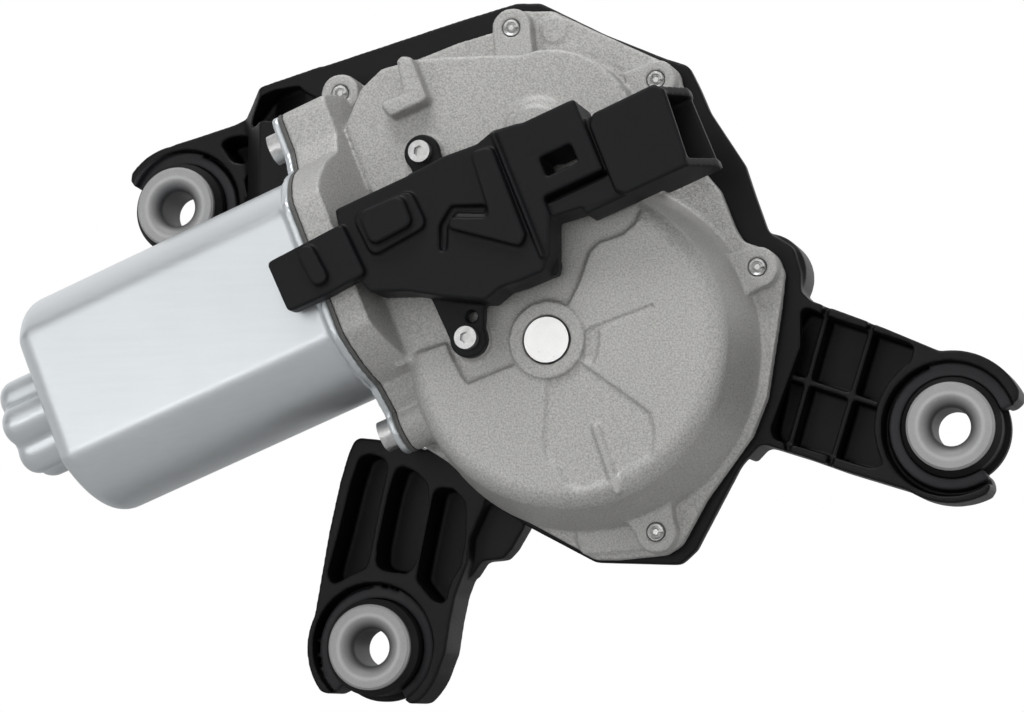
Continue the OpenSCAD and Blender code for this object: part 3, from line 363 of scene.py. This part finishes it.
dark_brass, clean_brass = (0.50, 0.36, 0.14), (0.72, 0.55, 0.26)
drawn_brass, shader, field = new_finish("drawn_brass", Metallic=0.9)
tarnish = field.noise(0.002, detail=4)
lay_on(shader,
       colour=tarnish.mix(dark_brass, clean_brass),
       roughness=tarnish * 0.2 + 0.22,
       relief=tarnish.bump(0.00002, 0.3))
dress(drawn_brass, "brush_tubes", "connector_terminals")

carbon_black, carbon_grey = (0.02, 0.02, 0.021), (0.06, 0.06, 0.062)
carbon, shader, field = new_finish("carbon")
dust = field.noise(0.0003, detail=4)
lay_on(shader,
       colour=dust.mix(carbon_black, carbon_grey),
       roughness=dust * 0.25 + 0.35,
       relief=dust.bump(0.00004, 0.4))
dress(carbon, "brushes")

# Gear housing: pressure die-cast aluminium, blasted to a fine matt grain. Draft and soft
# radii run all over it, so its sharp CAD edges are rounded here.
dark_casting, light_casting = (0.27, 0.267, 0.26), (0.55, 0.544, 0.532)
grain_contrast, grain_offset = 2.4, -0.7
blasted_casting, shader, field = new_finish("blasted_casting", Metallic=0.35)
blast_grain = (field.noise(0.00042, detail=2) * grain_contrast + grain_offset).clamp()
casting_skin = field.noise(0.0016, detail=3)
clouds = field.noise(0.03, detail=2)
lay_on(shader,
       colour=(blast_grain * 0.75 + casting_skin * 0.1 + clouds * 0.15).mix(
           dark_casting, light_casting),
       roughness=blast_grain * 0.14 + 0.46,
       relief=(blast_grain * 0.8 + casting_skin * 0.2).bump(0.00014, 0.55))
soften("gear_housing", "housing_casting", blasted_casting,
       voxel=0.0004, rounds=9, share=0.3)

# Gear wheel: nylon moulded round its steel hub, with helical teeth and a recess in each
# face. The thrust screw that sets the armature's end play is nylon as well.
nylon_shade, nylon_ivory = (0.62, 0.60, 0.54), (0.74, 0.72, 0.66)
moulded_nylon, shader, field = new_finish("moulded_nylon", Subsurface_Weight=0.05)
flow_lines = field.noise(0.006, detail=3)
grain = field.noise(0.0004, detail=2)
lay_on(shader,
       colour=flow_lines.mix(nylon_shade, nylon_ivory),
       roughness=grain * 0.15 + flow_lines * 0.1 + 0.30,
       relief=grain.bump(0.00003, 0.3))
dress(moulded_nylon, "worm_wheel", "thrust_screw")


# Mounting bracket: one glass-filled nylon moulding that closes the housing's back. It is
# black and even; on the cradles that hold the grommets a lighter grey is painted in as sheen.
def off_axis(field, *nodes):
    """The distance of a point from the nearest of these round nodes' axes along Y."""
    nearest = None
    for name in nodes:
        low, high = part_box(name)
        place = field.make("ShaderNodeTexCoord", out="Object")
        aside = field.make("ShaderNodeVectorMath", {"operation": "SUBTRACT"},
                           {0: place, 1: (low + high) / 2})
        aside = field.make("ShaderNodeVectorMath", {"operation": "MULTIPLY"},
                           {0: aside, 1: (1, 0, 1)})
        distance = field.make("ShaderNodeVectorMath", {"operation": "LENGTH"},
                              {0: aside}, out="Value")
        nearest = field.math("MINIMUM", nearest, distance) if nearest else distance
    return nearest


bushes = ("right_bush", "left_bush", "bottom_bush")
cradle_inner, cradle_outer, cradle_blur = 0.0112, 0.0140, 0.0003
deep_black, soft_black = (0.0016, 0.0016, 0.0018), (0.0042, 0.0042, 0.0048)
cradle_sheen_grey = (0.024, 0.0245, 0.027)
bracket_black, shader, field = new_finish("bracket_black", Specular_IOR_Level=0.2)
grain = field.noise(0.0005, detail=3)
flow_lines = field.noise(0.012, detail=3, stretch=(1, 1, 0.4))
from_bush = off_axis(field, *bushes)
# Painted sheen: the ring of each cradle between these radii is given a lighter grey.
cradle_sheen_mask = (((from_bush - cradle_inner) * (1 / cradle_blur)).clamp()
          * ((cradle_outer - from_bush) * (1 / cradle_blur)).clamp())
moulding = (flow_lines * 0.7 + grain * 0.3).mix(deep_black, soft_black)
lay_on(shader,
       colour=cradle_sheen_mask.mix(moulding, cradle_sheen_grey),
       roughness=grain * 0.14 + flow_lines * 0.08 + 0.36,
       relief=grain.bump(0.00004, 0.35))
soften("mounting_bracket", "bracket_moulding", bracket_black,
       voxel=0.00036, rounds=14, share=0.16)

# Connector housing: a moulded cover over the plug and the control board, in the same black
# nylon with a slightly finer grain. Two screws hold its ears on the gear housing.
deep_black, soft_black = (0.003, 0.0032, 0.0038), (0.0065, 0.0068, 0.008)
connector_black, shader, field = new_finish("connector_black", Specular_IOR_Level=0.17)
grain = field.noise(0.0004, detail=3)
flow_lines = field.noise(0.01, detail=2)
lay_on(shader,
       colour=(flow_lines * 0.6 + grain * 0.4).mix(deep_black, soft_black),
       roughness=grain * 0.14 + flow_lines * 0.06 + 0.38,
       relief=grain.bump(0.00004, 0.4))
soften("connector_housing", "connector_moulding", connector_black,
       voxel=0.0003, rounds=16, share=0.3)

# Control board: glass-fibre board with green lacquer that carries the position sensor and
# its chips, in the space behind the connector.
dark_green, light_green = (0.012, 0.10, 0.035), (0.02, 0.16, 0.06)
board_lacquer, shader, field = new_finish("board_lacquer", Coat_Weight=0.5)
weave = field.noise(0.0006, detail=2)
lay_on(shader,
       colour=weave.mix(dark_green, light_green),
       roughness=weave * 0.15 + 0.30,
       relief=weave.bump(0.00003, 0.4))
dress(board_lacquer, "control_board")

resin_black, resin_grey = (0.012, 0.012, 0.012), (0.03, 0.03, 0.03)
chip_resin, shader, field = new_finish("chip_resin")
filler = field.noise(0.0002, detail=3)
lay_on(shader,
       colour=filler.mix(resin_black, resin_grey),
       roughness=filler * 0.2 + 0.45,
       relief=filler.bump(0.00002, 0.4))
dress(chip_resin, "board_parts")

# Screws: zinc-plated steel. Five come through the bracket into the housing's ears, where
# their tips show, two hold the can's flange and two the connector's ears.
scuffed_zinc, fresh_zinc = (0.30, 0.30, 0.30), (0.74, 0.74, 0.73)
plated_screw, shader, field = new_finish("plated_screw", Metallic=0.9)
scuffs = field.noise(0.0012, detail=4)
haze = field.noise(0.0003, detail=2)
lay_on(shader,
       colour=scuffs.mix(scuffed_zinc, fresh_zinc),
       roughness=scuffs * 0.25 + haze * 0.1 + 0.18,
       relief=(scuffs * 0.6 + haze * 0.4).bump(0.00006, 0.6))
dress(plated_screw, "flange_screws", "connector_screws")


def loose_shells(form):
    """The sets of vertices that edges join."""
    left, shells = set(form.verts), []
    while left:
        shell, reached = [], [left.pop()]
        while reached:
            vertex = reached.pop()
            shell.append(vertex)
            near = {edge.other_vert(vertex) for edge in vertex.link_edges} & left
            left -= near
            reached += near
        shells.append(shell)
    return shells


# From the shank the end narrows, steps over the last turn of the thread, whose crest winds
# down round the tip, and closes in a shallow hollow. Each ring of the tip has its share of
# the shank's radius, its height in thread depths and its share of the thread's winding.
tip_rings = [(1.0, 2.0, 0.0), (0.93, 0.6, 0.25), (0.86, 0.0, 0.6), (0.66, 0.0, 1.0),
             (0.56, 1.6, 0.6), (0.40, 1.6, 0.2), (0.30, 1.2, 0.0)]
tip_steps, thread_pitch, thread_depth = 36, 0.0008, 0.00035
weld_distance, end_tolerance = 1e-6, 1e-5
screw_form = bmesh.new()
screw_form.from_mesh(cad["cover_screws"].data)
bmesh.ops.remove_doubles(screw_form, verts=screw_form.verts, dist=weld_distance)
for shell in loose_shells(screw_form):
    end_level = min(vertex.co.y for vertex in shell)
    rim = [vertex for vertex in shell if vertex.co.y < end_level + end_tolerance]
    middle = sum((vertex.co for vertex in rim), Vector()) / len(rim)
    radius = max((vertex.co - middle).length for vertex in rim)
    for face in {face for vertex in rim for face in vertex.link_faces
                 if all(corner in rim for corner in face.verts)}:
        screw_form.faces.remove(face)
    for vertex in rim:
        vertex.co.y += 2 * thread_depth
    before = None
    for share, height, winding in tip_rings:
        ring = []
        for step in range(tip_steps):
            turn = step * math.tau / tip_steps
            ring.append(screw_form.verts.new(middle + Vector((
                radius * share * math.cos(turn),
                height * thread_depth + winding * thread_pitch * step / tip_steps,
                radius * share * math.sin(turn)))))
        if before:
            for step in range(tip_steps):
                after = (step + 1) % tip_steps
                screw_form.faces.new((before[step], before[after], ring[after], ring[step]))
        before = ring
    screw_form.faces.new(before)
screw_mesh = bpy.data.meshes.new("cover_screws_detailed")
screw_form.to_mesh(screw_mesh)
screw_mesh.materials.append(plated_screw)
detailed_screws = bpy.data.objects.new("cover_screws_detailed", screw_mesh)
scene.collection.objects.link(detailed_screws)
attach(detailed_screws, "frame")
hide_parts("cover_screws")

# Seals: black rubber for the three grommets that the bracket's holders grip, the gasket
# between housing and bracket and the seal round the spindle. The gasket under the can's
# flange is cut from pressed fibre.
rubber_black, rubber_bloom = (0.002, 0.002, 0.002), (0.006, 0.006, 0.006)
black_rubber, shader, field = new_finish("black_rubber", Specular_IOR_Level=0.3)
bloom = field.noise(0.003, detail=4)
grain = field.noise(0.0004, detail=2)
lay_on(shader,
       colour=bloom.mix(rubber_black, rubber_bloom),
       roughness=bloom * 0.2 + grain * 0.1 + 0.5,
       relief=grain.bump(0.00005, 0.4))
dress(black_rubber, "left_grommet", "right_grommet", "bottom_grommet", "cover_gasket",
      "shaft_seal")

dark_fibre, grey_fibre = (0.05, 0.05, 0.048), (0.15, 0.15, 0.145)
pressed_fibre, shader, field = new_finish("pressed_fibre")
fibres = field.noise(0.0006, detail=4)
lay_on(shader,
       colour=fibres.mix(dark_fibre, grey_fibre),
       roughness=fibres * 0.2 + 0.6,
       relief=fibres.bump(0.00005, 0.5))
dress(pressed_fibre, "flange_gasket")

# Spacer bushes: turned aluminium with a flared face at each end, tumbled to a matt light
# grey. A screw clamps each bush, and the rubber round it keeps the motor quiet.
bore, crest, crest_width = 0.0044, 0.0072, 0.0007
matt_grey, light_grey = (0.27, 0.27, 0.272), (0.40, 0.40, 0.402)
funnel_painted_shade = (0.075, 0.075, 0.078)
tumbled_aluminium, shader, field = new_finish("tumbled_aluminium", Metallic=0.25)
grain = field.noise(0.00035, detail=3)
clouds = field.noise(0.004, detail=2)
from_axis = off_axis(field, *bushes)
# Painted highlight: the crest ring is lighter in colour; its lower roughness is polish.
crest_polish_and_highlight = (1 - abs(from_axis - crest) * (1 / crest_width)).clamp()
# Painted shade: the colour darkens down the funnel towards the bore.
funnel_shade_mask = ((crest - from_axis) * (1 / (crest - bore))).clamp()
face_colour_and_highlight = (grain * 0.7 + clouds * 0.3 + crest_polish_and_highlight * 0.6).mix(matt_grey, light_grey)
lay_on(shader,
       colour=funnel_shade_mask.mix(face_colour_and_highlight, funnel_painted_shade),
       roughness=grain * 0.15 + 0.46 - crest_polish_and_highlight * 0.12,
       relief=grain.bump(0.00008, 0.5))
dress(tumbled_aluminium, *bushes)
